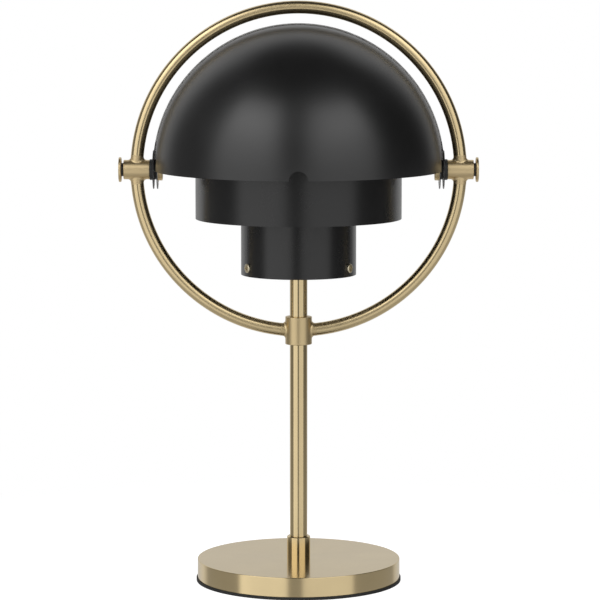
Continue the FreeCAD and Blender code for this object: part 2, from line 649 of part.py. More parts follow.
def make_pivots():
    for name, side in SIDES:
        make_pivot_barrel(name, side)
        make_pivot_screw(name, side)
        make_pivot_washers(name, side)
        make_pivot_nut(name, side)


# ---------------------------------------------------------------------------------------------
# Shades
# ---------------------------------------------------------------------------------------------
def draw_shade_section(sketch, radius, ear_face):
    """Half section of a shade: two concentric arcs, closed at both poles by the ears' flats."""
    wall = "Sizes.shade_wall"
    inner_radius = "(%s - %s)" % (radius, wall)
    inner_face = "(%s - %s)" % (ear_face, wall)
    outer = value(radius)
    inner = value(inner_radius)
    outer_x = value(ear_face)
    inner_x = value(inner_face)
    hole = value("Sizes.flat_hole_radius")
    origin = FreeCAD.Vector(0, 0, 0)
    axis = FreeCAD.Vector(0, 0, 1)
    outer_angle = math.acos(outer_x / outer)
    inner_angle = math.acos(inner_x / inner)
    outer_rim = FreeCAD.Vector(outer_x, outer * math.sin(outer_angle), 0)
    inner_rim = FreeCAD.Vector(inner_x, inner * math.sin(inner_angle), 0)

    def at(side, x, y):
        return FreeCAD.Vector(side * x, y, 0)

    outer_arc = sketch.addGeometry(
        Part.ArcOfCircle(Part.Circle(origin, axis, outer), outer_angle, math.pi - outer_angle), False)
    inner_arc = sketch.addGeometry(
        Part.ArcOfCircle(Part.Circle(origin, axis, inner), inner_angle, math.pi - inner_angle), False)
    for arc, size in ((outer_arc, radius), (inner_arc, inner_radius)):
        sketch.addConstraint(Sketcher.Constraint("Coincident", arc, 3, -1, 1))
        bind(sketch, Sketcher.Constraint("Radius", arc, value(size)), size)
    # an arc's start is its right-hand end, its end the left-hand one
    for side, arc_end in ((1, 1), (-1, 2)):
        outer_flat = sketch.addGeometry(
            Part.LineSegment(at(side, outer_rim.x, outer_rim.y), at(side, outer_x, hole)), False)
        edge = sketch.addGeometry(Part.LineSegment(at(side, outer_x, hole), at(side, inner_x, hole)), False)
        inner_flat = sketch.addGeometry(
            Part.LineSegment(at(side, inner_x, hole), at(side, inner_rim.x, inner_rim.y)), False)
        sketch.addConstraint([
            Sketcher.Constraint("Coincident", outer_arc, arc_end, outer_flat, 1),
            Sketcher.Constraint("Coincident", outer_flat, 2, edge, 1),
            Sketcher.Constraint("Coincident", edge, 2, inner_flat, 1),
            Sketcher.Constraint("Coincident", inner_flat, 2, inner_arc, arc_end),
            Sketcher.Constraint("Vertical", outer_flat),
            Sketcher.Constraint("Vertical", inner_flat),
        ])
        pin_point(sketch, edge, 1, mirrored_x(side, ear_face), "Sizes.flat_hole_radius")
        pin_point(sketch, edge, 2, mirrored_x(side, inner_face), "Sizes.flat_hole_radius")


def make_shade(label, radius, ear_face, is_front):
    """Quarter sphere of sheet from its lower rim to just past the top, with ears and a notch."""
    body = new_body(label, "Sizes.pivot_height")
    section = new_sketch(body, "XZ_Plane", "ShadeSection")
    draw_shade_section(section, radius, ear_face)
    quarter = add_revolution(body, section, "H_Axis")
    quarter.Type = "TwoAngles"
    down_to_rim = "90 + Sizes.rim_drop_angle"
    past_top = "Sizes.lap_angle"
    quarter.setExpression("Angle", down_to_rim if is_front else past_top)
    quarter.setExpression("Angle2", past_top if is_front else down_to_rim)

    inner_face = "(%s - Sizes.shade_wall)" % ear_face
    for start in (inner_face, "-1 * %s" % ear_face):
        ear = new_sketch(body, "YZ_Plane", "Ear", start)
        draw_circle(ear, "Sizes.ear_radius")
        draw_circle(ear, PIVOT_HOLE)
        add_pad(body, ear, "Sizes.shade_wall")

    notch = new_sketch(body, "XZ_Plane", "StemNotch")
    draw_circle(notch, NOTCH_RADIUS, up="-1 * %s * sin(Sizes.rim_drop_angle * 1 deg)" % radius)
    add_pocket(body, notch, "%s + Sizes.ear_radius" % radius, forward=is_front)


def make_shades():
    make_shade("front_shade", "Sizes.front_radius", FRONT_EAR, True)
    make_shade("rear_shade", REAR_RADIUS, REAR_EAR, False)


# ---------------------------------------------------------------------------------------------
# Cylinders, their posts and screws
# ---------------------------------------------------------------------------------------------
def make_cylinder(label, radius, half_height, hole_rises):
    """Open cylinder centred on the pivot axis, with three screw holes at some rises from there."""
    body = new_body(label, "Sizes.pivot_height")
    wall = new_sketch(body, "XY_Plane", "CylinderWall")
    draw_circle(wall, radius)
    draw_circle(wall, "%s - Sizes.cylinder_wall" % radius)
    add_pad(body, wall, "2 * %s" % half_height, both_ways=True)
    for rise in hole_rises:
        hole = new_sketch(body, "XZ_Plane", "ScrewHole")
        draw_circle(hole, SCREW_HOLE, up=rise)
        pocket = add_pocket(body, hole, radius)
        add_polar_pattern(body, [pocket])


def make_cylinder_posts():
    """Round posts between the two cylinders, tapped at both ends."""
    length = "(sqrt(%s ^ 2 - Sizes.post_radius ^ 2) - Sizes.narrow_radius)" % WIDE_INNER
    for name, turn in PLACES:
        post = new_tube("Post_" + name, "Sizes.post_radius", SCREW_HOLE, length, "+Y",
                        y="Sizes.narrow_radius", z="Sizes.pivot_height")
        post.Placement.Rotation = FreeCAD.Rotation(FreeCAD.Vector(0, 0, 1), turn)
        keep(post, "cylinder_post_" + name)


def make_screw_set(label, seat, height, outwards):
    """Three like pan-head screws with cross recesses, heads on seat, away from or towards the stem."""
    body = new_body(label, height)
    body.AllowCompound = True
    head = new_sketch(body, "XZ_Plane", "Head", "-1 * %s" % seat)
    draw_circle(head, "Sizes.screw_head_radius")
    head_pad = add_pad(body, head, "Sizes.screw_head_height", backward=outwards)
    head_radius = value("Sizes.screw_head_radius")
    direction = 1 if outwards else -1
    crown = value(seat) + direction * value("Sizes.screw_head_height")
    round_edges(body, head_pad, "Sizes.screw_head_edge",
                lambda edge: full_circle(edge, head_radius, y=crown))
    shank = new_sketch(body, "XZ_Plane", "Shank", "-1 * %s" % seat)
    draw_circle(shank, "Sizes.screw_shank_radius")
    add_pad(body, shank, "Sizes.screw_reach", backward=not outwards)
    floor = "(Sizes.screw_head_height - Sizes.recess_depth)"
    for wide, high in (("Sizes.recess_length / 2", "Sizes.recess_width / 2"),
                       ("Sizes.recess_width / 2", "Sizes.recess_length / 2")):
        slot = new_sketch(body, "XZ_Plane", "Recess", "-1 * (%s + %d * %s)" % (seat, direction, floor))
        draw_outline(slot, [("-1 * " + wide, "-1 * " + high), (wide, "-1 * " + high),
                            (wide, high), ("-1 * " + wide, high)])
        add_pocket(body, slot, "Sizes.recess_depth", forward=not outwards)
    add_polar_pattern(body)


def make_cylinders():
    bracket_holes = "(Sizes.bracket_rise - Sizes.narrow_half_height)"
    make_cylinder("narrow_cylinder", "Sizes.narrow_radius", "Sizes.narrow_half_height",
                  (bracket_holes, "0"))
    make_cylinder("wide_cylinder", "Sizes.wide_radius", "Sizes.wide_half_height", ("0",))
    make_cylinder_posts()
    # a flat head touches the outside of its cylinder on a line, and the inside at its two edges
    make_screw_set("post_outer_screws", "Sizes.wide_radius", "Sizes.pivot_height", True)
    make_screw_set("post_inner_screws", INNER_SEAT, "Sizes.pivot_height", False)
    make_screw_set("bracket_screws", "Sizes.narrow_radius", BRACKET_SCREW_HEIGHT, True)


# ---------------------------------------------------------------------------------------------
# Bracket on the stem
# ---------------------------------------------------------------------------------------------
def make_stem_bracket():
    """Hub with three arms, each turned down into a tapped tab that the narrow cylinder screws to."""
    body = new_body("stem_bracket", BRACKET_TOP)
    hub = new_sketch(body, "XY_Plane", "Hub")
    draw_circle(hub, "Sizes.hub_radius")
    add_pad(body, hub, "Sizes.bracket_thickness", backward=True)
    half = "Sizes.arm_width / 2"
    arm = new_sketch(body, "XY_Plane", "Arm")
    draw_outline(arm, [("-1 * " + half, "0"), (half, "0"), (half, TAB_OUT), ("-1 * " + half, TAB_OUT)])
    arm_pad = add_pad(body, arm, "Sizes.bracket_thickness", backward=True)
    tab = new_sketch(body, "XY_Plane", "Tab")
    tab_in = "%s - Sizes.bracket_thickness" % TAB_OUT
    draw_outline(tab, [("-1 * " + half, tab_in), (half, tab_in), (half, TAB_OUT), ("-1 * " + half, TAB_OUT)])
    tab_pad = add_pad(body, tab, "Sizes.tab_height", backward=True)
    hole = new_sketch(body, "XZ_Plane", "TabHole")
    draw_circle(hole, SCREW_HOLE, up="%s - %s" % (BRACKET_SCREW_HEIGHT, BRACKET_TOP))
    tab_hole = add_pocket(body, hole, TAB_OUT)
    add_polar_pattern(body, [arm_pad, tab_pad, tab_hole])
    centre = new_sketch(body, "XY_Plane", "HubHole")
    draw_circle(centre, NIPPLE_HOLE)
    add_pocket(body, centre, both_ways=True)


# ---------------------------------------------------------------------------------------------
# Lamp holder and bulb
# ---------------------------------------------------------------------------------------------
def make_turned(label, foot, corners):
    """A piece turned about the stem's axis from an outline of (radius, height) corners."""
    body = new_body(label, foot)
    half = new_sketch(body, "XZ_Plane", "HalfSection")
    draw_outline(half, corners)
    add_revolution(body, half, "V_Axis")


def make_lamp_holder():
    cavity = "(Sizes.holder_radius - Sizes.holder_wall)"
    neck = "(%s + Sizes.holder_wall)" % NIPPLE_HOLE
    make_turned("holder_body", HOLDER_FOOT, [
        (NIPPLE_HOLE, "0"),
        (neck, "0"),
        ("Sizes.holder_radius", "Sizes.holder_shoulder"),
        ("Sizes.holder_radius", "Sizes.holder_height"),
        (cavity, "Sizes.holder_height"),
        (cavity, "Sizes.holder_floor"),
        (NIPPLE_HOLE, "Sizes.holder_floor"),
    ])
    sleeve_outer = "(%s + Sizes.thread_sleeve_wall)" % SLEEVE_INNER
    make_turned("holder_thread", HOLDER_FLOOR_TOP, [
        (SLEEVE_INNER, "0"),
        ("%s - Sizes.slip_gap" % cavity, "0"),
        ("%s - Sizes.slip_gap" % cavity, "Sizes.thread_sleeve_foot"),
        (sleeve_outer, "Sizes.thread_sleeve_foot"),
        (sleeve_outer, "Sizes.thread_sleeve_height"),
        (SLEEVE_INNER, "Sizes.thread_sleeve_height"),
    ])
    # the contact stands on the nipple's end, which lies level with the holder's floor
    disc_radius = "(%s - Sizes.cap_thread_gap)" % SLEEVE_INNER
    make_turned("holder_contact", HOLDER_FLOOR_TOP, [
        ("0", "0"),
        (disc_radius, "0"),
        (disc_radius, "Sizes.thread_sleeve_foot"),
        ("Sizes.contact_radius", "Sizes.thread_sleeve_foot"),
        ("Sizes.contact_radius", "Sizes.contact_height"),
        ("0", "Sizes.contact_height"),
    ])


def make_bulb_cap():
    make_turned("bulb_cap", BULB_FOOT, [
        ("0", "0"),
        ("Sizes.cap_tip_radius", "0"),
        ("Sizes.cap_radius", "Sizes.cap_tip_height"),
        ("Sizes.cap_radius", "Sizes.cap_tip_height + Sizes.cap_height"),
        ("0", "Sizes.cap_tip_height + Sizes.cap_height"),
    ])


def make_pear(name, globe_radius, neck_radius, foot):
    """Solid of a globe with a straight neck that meets it without a crease."""
    body = doc.addObject("PartDesign::Body", name)
    half = new_sketch(body, "XZ_Plane", "BulbHalf")
    radius = value(globe_radius)
    neck = value(neck_radius)
    low = value(foot)
    centre = value(GLASS_CENTRE)
    reach = math.hypot(neck, centre - low)
    tangent_angle = -math.pi / 2 + math.atan2(neck, centre - low) + math.acos(radius / reach)
    touch = FreeCAD.Vector(radius * math.cos(tangent_angle), centre + radius * math.sin(tangent_angle), 0)
    middle = FreeCAD.Vector(0, centre, 0)
    globe = half.addGeometry(
        Part.ArcOfCircle(Part.Circle(middle, FreeCAD.Vector(0, 0, 1), radius), tangent_angle, math.pi / 2),
        False)
    spine = half.addGeometry(
        Part.LineSegment(FreeCAD.Vector(0, centre + radius, 0), FreeCAD.Vector(0, low, 0)), False)
    mouth = half.addGeometry(Part.LineSegment(FreeCAD.Vector(0, low, 0), FreeCAD.Vector(neck, low, 0)), False)
    side = half.addGeometry(Part.LineSegment(FreeCAD.Vector(neck, low, 0), touch), False)
    half.addConstraint([
        Sketcher.Constraint("Coincident", globe, 2, spine, 1),
        Sketcher.Constraint("Coincident", spine, 2, mouth, 1),
        Sketcher.Constraint("Coincident", mouth, 2, side, 1),
        Sketcher.Constraint("Tangent", side, 2, globe, 1),
        Sketcher.Constraint("PointOnObject", globe, 3, -2),
        Sketcher.Constraint("PointOnObject", spine, 1, -2),
        Sketcher.Constraint("PointOnObject", spine, 2, -2),
        Sketcher.Constraint("Horizontal", mouth),
    ])
    bind(half, Sketcher.Constraint("Radius", globe, radius), globe_radius)
    bind(half, Sketcher.Constraint("DistanceY", -1, 1, globe, 3, centre), GLASS_CENTRE)
    pin_point(half, mouth, 2, neck_radius, foot)
    add_revolution(body, half, "V_Axis")
    return body


def make_bulb_glass():
    outside = make_pear("GlassOutside", "Sizes.glass_radius", "Sizes.glass_neck_radius", GLASS_FOOT)
    inside = make_pear("GlassInside", "Sizes.glass_radius - Sizes.glass_wall",
                       "Sizes.glass_neck_radius - Sizes.glass_wall", GLASS_FOOT)
    keep(cut("GlassCut", outside, inside), "bulb_glass")


# ---------------------------------------------------------------------------------------------
# The lamp
# ---------------------------------------------------------------------------------------------
make_base_pad()
make_base_cover()
make_base_ballast()
make_cord_gland()
make_stem_foot_collar()
make_stem_tube()
make_stem_fixings()
make_ring()
make_pivots()
make_shades()
make_cylinders()
make_stem_bracket()
make_lamp_holder()
make_bulb_cap()
make_bulb_glass()
doc.recompute()

faults = [item.Name for item in doc.Objects if "Invalid" in item.State or "Error" in item.State]
for piece in sub_parts:
    if piece.Shape.isNull() or not piece.Shape.isValid() or not piece.Shape.Solids:
        faults.append(piece.Label)
if faults:
    raise RuntimeError("not built: " + ", ".join(faults))

os.makedirs("parts", exist_ok=True)
for piece in sub_parts:
    piece.Shape.exportStep("parts/%s.step" % piece.Label)
    print("%-24s solids %d  volume %10.1f mm3" % (piece.Label, len(piece.Shape.Solids), piece.Shape.Volume))
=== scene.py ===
# Dome shade table lamp: round base, slim stem, and a ring that carries two quarter-sphere shades on
# pivots round two nested cylinders. Metres, +Z up, front towards -Y, origin under the base.
import math

import bpy
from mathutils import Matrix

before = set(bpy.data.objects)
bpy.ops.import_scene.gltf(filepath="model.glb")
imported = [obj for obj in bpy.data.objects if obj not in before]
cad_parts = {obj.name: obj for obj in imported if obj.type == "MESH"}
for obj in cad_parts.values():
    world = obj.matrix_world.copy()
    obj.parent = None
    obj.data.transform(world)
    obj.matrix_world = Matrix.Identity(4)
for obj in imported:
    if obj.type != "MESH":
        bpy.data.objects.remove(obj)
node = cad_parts
scene = bpy.context.scene
scene.view_settings.view_transform = "Standard"
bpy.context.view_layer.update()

# ---------------------------------------------------------------------------------------------
# Camera. It stands 2.5 m in front of the lamp and a little above the shades, and looks slightly
# down, so that the base shows its top and the shades their lower rims.
# ---------------------------------------------------------------------------------------------
camera = bpy.data.objects.new("camera", bpy.data.cameras.new("camera"))
scene.collection.objects.link(camera)
CAMERA_PLACE = (0.0012, -2.5, 0.5267)
LOOK_DOWN = 6.456
LENS_MM = 175.56
camera.location = CAMERA_PLACE
camera.rotation_euler = (math.radians(90 - LOOK_DOWN), 0, 0)
camera.data.sensor_width = 36.0
camera.data.lens = LENS_MM
scene.camera = camera

# ---------------------------------------------------------------------------------------------
# Studio. Two tall softboxes stand left and right of the camera with a narrow dark gap between them,
# and a white cloth hangs behind. The ceiling is dark, three flags of thin cloth fill the shadows, and
# the table is a pale sheet of paper.
# ---------------------------------------------------------------------------------------------
def link(tree, source, target):
    tree.links.new(source, target)


def add(tree, kind, **settings):
    made = tree.nodes.new("ShaderNode" + kind)
    for key, value in settings.items():
        if key in made.inputs:
            made.inputs[key].default_value = value
        else:
            setattr(made, key, value)
    return made


def math_node(tree, operation, first, second=None, third=None, clamp=False):
    made = tree.nodes.new("ShaderNodeMath")
    made.operation = operation
    made.use_clamp = clamp
    for place, value in enumerate((first, second, third)):
        if value is None:
            continue
        if isinstance(value, (int, float)):
            made.inputs[place].default_value = value
        else:
            tree.links.new(value, made.inputs[place])
    return made.outputs[0]


def ramp(tree, factor, stops, smooth=False):
    """Colour ramp through (place, value) stops; a value is a grey or a colour."""
    made = tree.nodes.new("ShaderNodeValToRGB")
    made.color_ramp.interpolation = "EASE" if smooth else "LINEAR"
    while len(made.color_ramp.elements) < len(stops):
        made.color_ramp.elements.new(0.5)
    for element, (place, value) in zip(made.color_ramp.elements, stops):
        element.position = place
        element.color = (value, value, value, 1) if isinstance(value, float) else (*value, 1)
    tree.links.new(factor, made.inputs[0])
    return made.outputs[0]


def step_up(tree, value, start, end):
    """Grey that rises smoothly from 0 to 1 while the value goes from start to end."""
    made = add(tree, "MapRange", interpolation_type="SMOOTHSTEP")
    made.inputs["From Min"].default_value = start
    made.inputs["From Max"].default_value = end
    link(tree, value, made.inputs["Value"])
    return made.outputs["Result"]


world = bpy.data.worlds.new("studio")
scene.world = world
world.use_nodes = True
room = world.node_tree
room.nodes.clear()
parts = add(room, "SeparateXYZ")
link(room, add(room, "TexCoord").outputs["Generated"], parts.inputs[0])
# azimuth in degrees from the camera's side, below 0 to the left, and elevation in degrees
to_front = math_node(room, "MULTIPLY", parts.outputs["Y"], -1.0)
turned = math_node(room, "ARCTAN2", parts.outputs["X"], to_front)
azimuth = math_node(room, "MULTIPLY", turned, 180 / math.pi)
elevation = math_node(room, "MULTIPLY", math_node(room, "ARCSINE", parts.outputs["Z"]), 180 / math.pi)


def window(left, right, edge, low, high, top_edge, lean_left=0.0, lean_right=0.0):
    """Soft-edged rectangle of light between two azimuths and two elevations; its sides may lean."""
    from_left = math_node(room, "MULTIPLY_ADD", elevation, -lean_left, azimuth)
    from_right = math_node(room, "MULTIPLY_ADD", elevation, -lean_right, azimuth)
    opened = step_up(room, from_left, left - edge, left + edge)
    closed = step_up(room, from_right, right + edge, right - edge)
    raised = step_up(room, elevation, low - 6, low + 6)
    capped = step_up(room, elevation, high + top_edge, high - top_edge)
    across = math_node(room, "MULTIPLY", opened, closed)
    upright = math_node(room, "MULTIPLY", raised, capped)
    return math_node(room, "MULTIPLY", across, upright)


# each softbox has its lamp high inside, so it is brightest two thirds of the way up
LEFT_BOX_LEVEL, RIGHT_BOX_LEVEL = 2.25, 1.85
SIDE_WALL_LEVEL, ROOM_LEVEL, TABLE_LEVEL = 0.13, 0.045, 0.45
glow = ramp(room, math_node(room, "MULTIPLY_ADD", elevation, 1 / 180, 0.5),
            [(0.40, 0.40), (0.50, 0.43), (0.60, 0.60), (0.70, 1.0), (0.76, 1.0)], smooth=True)
left_box = math_node(room, "MULTIPLY", window(-71, -13, 4, -40, 54, 7, 0.0, -0.14), glow)
right_box = math_node(room, "MULTIPLY", window(5, 66, 4, -40, 54, 7, 0.14, 0.0), glow)
cloth = math_node(room, "SUBTRACT", 1.0, window(-128, 134, 12, -90, 90, 1))
cloth = math_node(room, "MULTIPLY", cloth, step_up(room, elevation, 62, 46))
cloth_tone = step_up(room, elevation, 8, 40)
cloth = math_node(room, "MULTIPLY", cloth, math_node(room, "MULTIPLY_ADD", cloth_tone, 0.20, 0.58))
side_wall = window(-150, -60, 8, -30, 38, 12)
table_glow = step_up(room, elevation, -3, -15)
level = math_node(room, "MULTIPLY_ADD", left_box, LEFT_BOX_LEVEL, ROOM_LEVEL)
level = math_node(room, "MULTIPLY_ADD", right_box, RIGHT_BOX_LEVEL, level)
level = math_node(room, "MULTIPLY_ADD", side_wall, SIDE_WALL_LEVEL, level)
level = math_node(room, "ADD", cloth, level)
table_part = math_node(room, "MULTIPLY", table_glow, TABLE_LEVEL)
level = math_node(room, "MAXIMUM", level, table_part)
seen = add(room, "LightPath")
lit = add(room, "Background", Color=(1, 1, 1, 1))
link(room, level, lit.inputs["Strength"])
white = add(room, "Background", Color=(1, 1, 1, 1), Strength=1.0)
choice = add(room, "MixShader")
link(room, seen.outputs["Is Camera Ray"], choice.inputs[0])
link(room, lit.outputs[0], choice.inputs[1])
link(room, white.outputs[0], choice.inputs[2])
link(room, choice.outputs[0], add(room, "OutputWorld").inputs[0])

# flags in front, overhead and behind fill the matt surfaces and leave no highlight
FLAG_WIDTH, FLAG_HEIGHT = 2.2, 1.8
for name, stand_at, lean, watts in (
        ("front_flag", (0.0, -2.2, 1.5), 60, 17.0),
        ("top_flag", (0.0, 0.2, 2.5), 0, 11.0),
        ("back_flag", (0.0, 2.3, 1.4), -64, 12.0)):
    flag = bpy.data.objects.new(name, bpy.data.lights.new(name, "AREA"))
    flag.data.shape = "RECTANGLE"
    flag.data.size = FLAG_WIDTH
    flag.data.size_y = FLAG_HEIGHT
    flag.data.energy = watts
    flag.location = stand_at
    flag.rotation_euler = (math.radians(lean), 0, 0)
    flag.visible_glossy = False
    flag.visible_camera = False
    scene.collection.objects.link(flag)

# the paper is a round sheet that the camera sees as white; its far part passes into the backdrop
PAPER_RADIUS, RIM_POINTS = 3.0, 96
NEAR_PAPER, FAR_PAPER = 0.12, 0.5
paper_mesh = bpy.data.meshes.new("table_paper")
turns = [math.tau * k / RIM_POINTS for k in range(RIM_POINTS)]
rim = [(PAPER_RADIUS * math.cos(turn), PAPER_RADIUS * math.sin(turn), 0.0) for turn in turns]
paper_mesh.from_pydata(rim, [], [tuple(range(RIM_POINTS))])
table_paper = bpy.data.objects.new("table_paper", paper_mesh)
scene.collection.objects.link(table_paper)
paper = bpy.data.materials.new("pale_paper")
paper.use_nodes = True
sheet = paper.node_tree
sheet.nodes.clear()
matt = add(sheet, "BsdfDiffuse", Color=(0.80, 0.80, 0.80, 1))
shaded = add(sheet, "BsdfDiffuse", Color=(0.42, 0.42, 0.42, 1))
lift = add(sheet, "Emission", Color=(1, 1, 1, 1), Strength=0.84)
near = add(sheet, "AddShader")
link(sheet, shaded.outputs[0], near.inputs[0])
link(sheet, lift.outputs[0], near.inputs[1])
far = add(sheet, "Emission", Color=(1, 1, 1, 1), Strength=1.0)
spot = add(sheet, "VectorMath", operation="LENGTH")
link(sheet, add(sheet, "TexCoord").outputs["Object"], spot.inputs[0])
away = add(sheet, "MixShader")
link(sheet, step_up(sheet, spot.outputs["Value"], NEAR_PAPER, FAR_PAPER), away.inputs[0])
link(sheet, near.outputs[0], away.inputs[1])
link(sheet, far.outputs[0], away.inputs[2])
path = add(sheet, "LightPath")
to_camera = add(sheet, "MixShader")
link(sheet, path.outputs["Is Camera Ray"], to_camera.inputs[0])
link(sheet, matt.outputs[0], to_camera.inputs[1])
link(sheet, away.outputs[0], to_camera.inputs[2])
clear = add(sheet, "BsdfTransparent")
mirrored = math_node(sheet, "MAXIMUM", path.outputs["Is Glossy Ray"], path.outputs["Is Transmission Ray"])
to_gloss = add(sheet, "MixShader")
link(sheet, mirrored, to_gloss.inputs[0])
link(sheet, to_camera.outputs[0], to_gloss.inputs[1])
link(sheet, clear.outputs[0], to_gloss.inputs[2])
link(sheet, to_gloss.outputs[0], add(sheet, "OutputMaterial").inputs[0])
paper_mesh.materials.append(paper)

# ---------------------------------------------------------------------------------------------
# Base cover: a cup spun from brass sheet, brushed round and lacquered, with a crisp rolled edge.
# It sits over the iron weight and is clamped by the stem's nipple.
# ---------------------------------------------------------------------------------------------
def new_finish(name):
    """Material with a Principled surface, and the place on the piece as its coordinates."""
    finish = bpy.data.materials.new(name)
    finish.use_nodes = True
    tree = finish.node_tree
    surface = tree.nodes["Principled BSDF"]
    place = add(tree, "TexCoord").outputs["Object"]
    return finish, tree, surface, place


def stretched_noise(tree, place, scale, detail=3.0, roughness=0.5):
    """Noise with its own scale along X, Y and Z, in grains per metre."""
    mapped = add(tree, "Mapping")
    mapped.inputs["Scale"].default_value = scale
    link(tree, place, mapped.inputs["Vector"])
    grain = add(tree, "TexNoise", Scale=1.0, Detail=detail, Roughness=roughness)
    link(tree, mapped.outputs[0], grain.inputs["Vector"])
    return grain.outputs["Fac"]


def set_bump(tree, surface, height, strength, distance):
    bump = add(tree, "Bump", Strength=strength, Distance=distance)
    link(tree, height, bump.inputs["Height"])
    link(tree, bump.outputs[0], surface.inputs["Normal"])


def between(tree, factor, first, second):
    """Colour or grey that runs from first to second with factor."""
    return ramp(tree, factor, [(0.3, first), (0.7, second)])


def brass_finish(name, brush_scale, base, rough, brush_depth, stretch=0.0, along=None):
    """Lacquered brass: fine brush lines, cloudy tone, and small handling marks in the gloss.

    The reflections are drawn out by stretch in the direction along, across the brush lines."""
    finish, tree, surface, place = new_finish(name)
    surface.inputs["Metallic"].default_value = 1.0
    surface.inputs["Anisotropic"].default_value = stretch
    if along is not None:
        link(tree, along(tree, place), surface.inputs["Tangent"])
    lines = stretched_noise(tree, place, brush_scale, 3.0, 0.6)
    clouds = stretched_noise(tree, place, (30, 30, 30), 2.0)
    dark = tuple(channel * 0.965 for channel in base)
    light = tuple(min(1.0, channel * 1.03) for channel in base)
    link(tree, between(tree, clouds, dark, light), surface.inputs["Base Color"])
    blend = math_node(tree, "MULTIPLY_ADD", lines, 0.6, math_node(tree, "MULTIPLY", clouds, 0.4))
    link(tree, ramp(tree, blend, [(0.25, rough * 0.88), (0.75, rough * 1.12)]), surface.inputs["Roughness"])
    set_bump(tree, surface, lines, brush_depth, 0.00002)
    return finish


def across_the_turning(tree, place):
    """Direction across the brush lines of a piece turned about the stem: outwards on its flat top, and
    up on its side."""
    spread = add(tree, "VectorMath", operation="MULTIPLY_ADD")
    link(tree, place, spread.inputs[0])
    spread.inputs[1].default_value = (1, 1, 0)
    spread.inputs[2].default_value = (0, 0, 0.02)
    return spread.outputs[0]


def dress(finish, *names):
    """Give CAD nodes a finish in their material slots."""
    for name in names:
        mesh = node[name].data
        if not mesh.materials:
            mesh.materials.append(finish)
        for place in range(len(mesh.materials)):
            mesh.materials[place] = finish


BRASS = (0.72, 0.575, 0.33)
spun_brass = brass_finish("spun_brass", (40, 40, 5000), BRASS, 0.17, 0.03, 0.45, across_the_turning)
dress(spun_brass, "base_cover")

# ---------------------------------------------------------------------------------------------
# Pad: a disc of black rubber glued under the base, a little wider than the cover, so that the
# brass doesn't touch the table.
# ---------------------------------------------------------------------------------------------
rubber, tree, surface, place = new_finish("pad_rubber")
surface.inputs["Specular IOR Level"].default_value = 0.35
crumb = stretched_noise(tree, place, (2600, 2600, 2600), 3.0)
link(tree, between(tree, crumb, (0.012, 0.012, 0.012), (0.026, 0.026, 0.025)), surface.inputs["Base Color"])
link(tree, between(tree, crumb, 0.62, 0.82), surface.inputs["Roughness"])
set_bump(tree, surface, crumb, 0.5, 0.0001)
dress(rubber, "base_pad")

# ---------------------------------------------------------------------------------------------
# Weight and fixings inside the base: a cast iron disc, left rough from the sand, which a zinc plated
# nipple, washer and nut clamp to the stem. The posts and the bracket above have the same plating.
# ---------------------------------------------------------------------------------------------
iron, tree, surface, place = new_finish("cast_iron")
surface.inputs["Metallic"].default_value = 1.0
sand = stretched_noise(tree, place, (900, 900, 900), 5.0, 0.6)
link(tree, between(tree, sand, (0.10, 0.10, 0.105), (0.19, 0.185, 0.18)), surface.inputs["Base Color"])
link(tree, between(tree, sand, 0.55, 0.75), surface.inputs["Roughness"])
set_bump(tree, surface, sand, 0.6, 0.0003)
dress(iron, "base_ballast")

zinc, tree, surface, place = new_finish("zinc_plate")
surface.inputs["Metallic"].default_value = 1.0
spangle = stretched_noise(tree, place, (420, 420, 420), 3.0)
link(tree, between(tree, spangle, (0.50, 0.51, 0.53), (0.62, 0.62, 0.63)), surface.inputs["Base Color"])
link(tree, between(tree, spangle, 0.28, 0.42), surface.inputs["Roughness"])
set_bump(tree, surface, spangle, 0.2, 0.00005)
dress(zinc, "base_washer", "base_nut", "lower_nipple", "upper_nipple", "bracket_nut", "stem_bracket",
      "cylinder_post_rear", "cylinder_post_left", "cylinder_post_right")

# ---------------------------------------------------------------------------------------------
# Cord gland: a black moulded nylon bush in the back of the base, pushed in through the cover into
# the channel of the weight.
# ---------------------------------------------------------------------------------------------
def moulded(name, dark, light, rough, grain_scale=1800):
    """Moulded plastic with a fine spark-eroded grain."""
    finish, tree, surface, place = new_finish(name)
    grain = stretched_noise(tree, place, (grain_scale, grain_scale, grain_scale), 2.0)
    link(tree, between(tree, grain, dark, light), surface.inputs["Base Color"])
    link(tree, between(tree, grain, rough * 0.88, rough * 1.12), surface.inputs["Roughness"])
    set_bump(tree, surface, grain, 0.25, 0.00005)
    return finish


black_nylon = moulded("black_nylon", (0.014, 0.014, 0.014), (0.024, 0.024, 0.024), 0.45)
dress(black_nylon, "cord_gland")

# ---------------------------------------------------------------------------------------------
# Stem and its foot collar: a drawn brass tube with a turned sleeve at its foot. Both are brushed
# round, lacquered, and held by the threaded nipples inside.
# ---------------------------------------------------------------------------------------------
drawn_brass = brass_finish("drawn_brass", (30, 30, 4000), BRASS, 0.16, 0.03, 0.6, across_the_turning)
dress(drawn_brass, "stem_tube", "stem_foot_collar")

# ---------------------------------------------------------------------------------------------
# Ring: three lengths of bent brass tube, brazed to the barrels and to the collar on the stem. A
# small black set screw in the back of the collar holds it on the stem.
# ---------------------------------------------------------------------------------------------
PIVOT_HEIGHT = 0.3561


def round_the_ring(tree, place):
    """Direction of the tube at each point of the ring."""
    spoke = add(tree, "VectorMath", operation="SUBTRACT")
    link(tree, place, spoke.inputs[0])
    spoke.inputs[1].default_value = (0, 0, PIVOT_HEIGHT)
    tube = add(tree, "VectorMath", operation="CROSS_PRODUCT")
    link(tree, spoke.outputs[0], tube.inputs[0])
    tube.inputs[1].default_value = (0, 1, 0)
    return tube.outputs[0]


